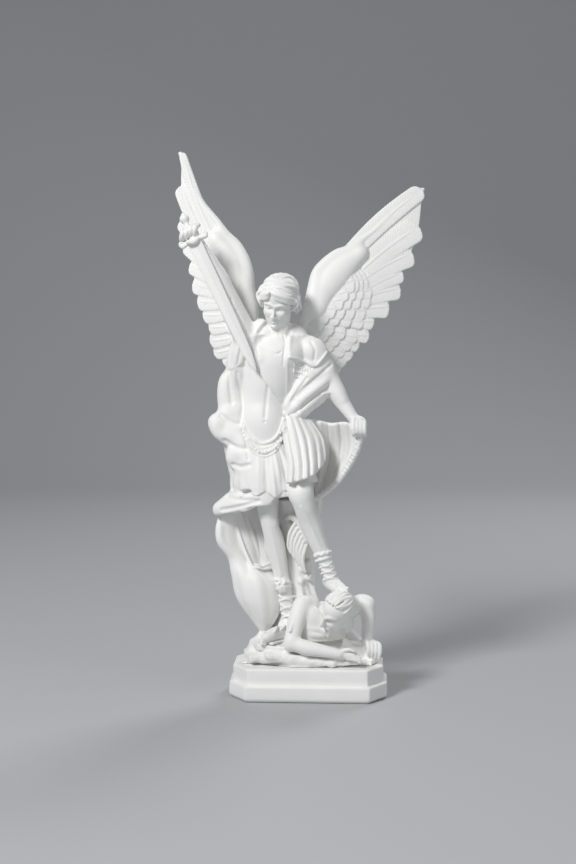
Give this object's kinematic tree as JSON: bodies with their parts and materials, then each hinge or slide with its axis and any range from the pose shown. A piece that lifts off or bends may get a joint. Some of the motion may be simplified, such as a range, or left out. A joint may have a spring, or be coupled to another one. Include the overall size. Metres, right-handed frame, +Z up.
{
  "type": "archangel michael statue",
  "caption": "Winged archangel in Roman dress with a raised sword, treading on the fallen devil, cast in white on a stepped eight-sided plinth.",
  "frame": {"origin": "middle of the plinth's flat underside, on the surface it stands on", "axes": "+Z up; the angel faces -Y; +X is to the right of someone who stands in front and looks at it"},
  "size_m": [0.1879, 0.0834, 0.4013],
  "materials": {
    "white_cast": "matte white stone-filled resin, with a faint satin bloom"
  },
  "bodies": {
    "root": {"plinth": "white_cast", "statue": "white_cast", "sword": "white_cast"}
  },
  "joints": []
}
